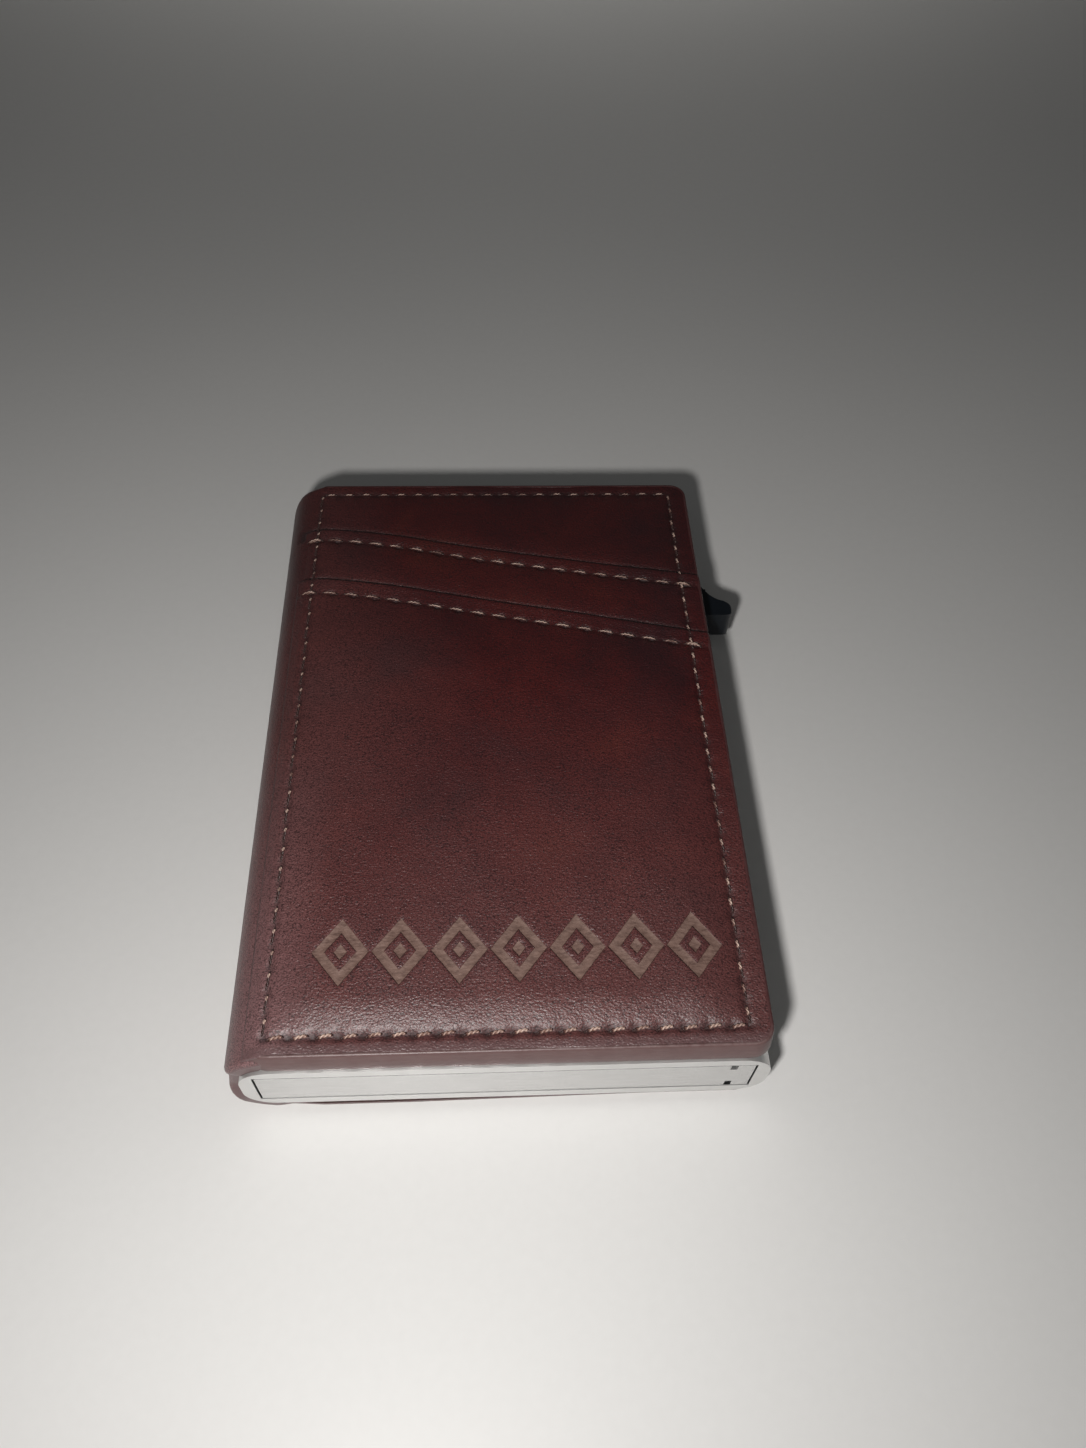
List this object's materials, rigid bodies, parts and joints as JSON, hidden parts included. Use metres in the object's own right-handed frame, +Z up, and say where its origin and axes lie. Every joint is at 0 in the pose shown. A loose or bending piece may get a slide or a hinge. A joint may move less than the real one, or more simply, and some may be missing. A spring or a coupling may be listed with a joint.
{
  "type": "minimalist wallet",
  "caption": "Slim aluminium card case with a side thumb lever that slides the cards out, in a book-style stitched leather cover with slanted outer pockets.",
  "frame": {"origin": "centre of the back cover's underside, the face that the wallet rests on", "axes": "+X towards the thumb lever, +Y along the case towards its open mouth, +Z up through the thickness towards the front cover"},
  "size_m": [0.0712, 0.0986, 0.0169],
  "materials": {
    "satin_aluminium": "satin anodised",
    "lever_plastic": "fine satin, blue-black",
    "slider_plastic": "moulded matt black",
    "cover_leather": "semi-gloss reddish-brown, mottled, fine pebble grain",
    "lining": "soft dark brown microfibre",
    "thread": "waxed copper-brown polyester thread",
    "felt": "dark grey felt",
    "foam": "thin closed-cell foam sheet",
    "paperboard": "grey bookbinding board",
    "adhesive_tape": "double-sided acrylic sheet"
  },
  "bodies": {
    "case": {"case_tube": "satin_aluminium", "end_plate": "satin_aluminium", "lower_felt_strip": "felt", "upper_felt_strip": "felt", "back_leather": "cover_leather", "back_board": "paperboard", "back_lining": "lining", "mounting_tape": "adhesive_tape", "back_thread": "thread"},
    "slider": {"stair_pusher": "slider_plastic", "slide_rail": "slider_plastic", "thumb_lever": "lever_plastic"},
    "spine": {"spine_leather": "cover_leather", "spine_lining": "lining"},
    "cover": {"inner_pocket": "lining", "cover_lining": "lining", "cover_foam": "foam", "cover_leather": "cover_leather", "upper_pocket": "cover_leather", "lower_pocket": "cover_leather", "cover_thread": "thread", "upper_pocket_thread": "thread", "lower_pocket_thread": "thread"}
  },
  "joints": [
    {"name": "lever_slide", "type": "slide", "parent": "case", "child": "slider", "axis": [0, 1, 0], "range_m": [0, 0.014]},
    {"name": "back_fold", "type": "hinge", "parent": "case", "child": "spine", "pos_m": [-0.03224, 0, 0.00156], "axis": [0, -1, 0], "range_deg": [0, 85]},
    {"name": "front_fold", "type": "hinge", "parent": "spine", "child": "cover", "pos_m": [-0.03224, 0, 0.01409], "axis": [0, -1, 0], "range_deg": [0, 95]}
  ],
  "couplings": [
    {"joint": "front_fold", "follows": "back_fold", "ratio": 1.1176}
  ]
}
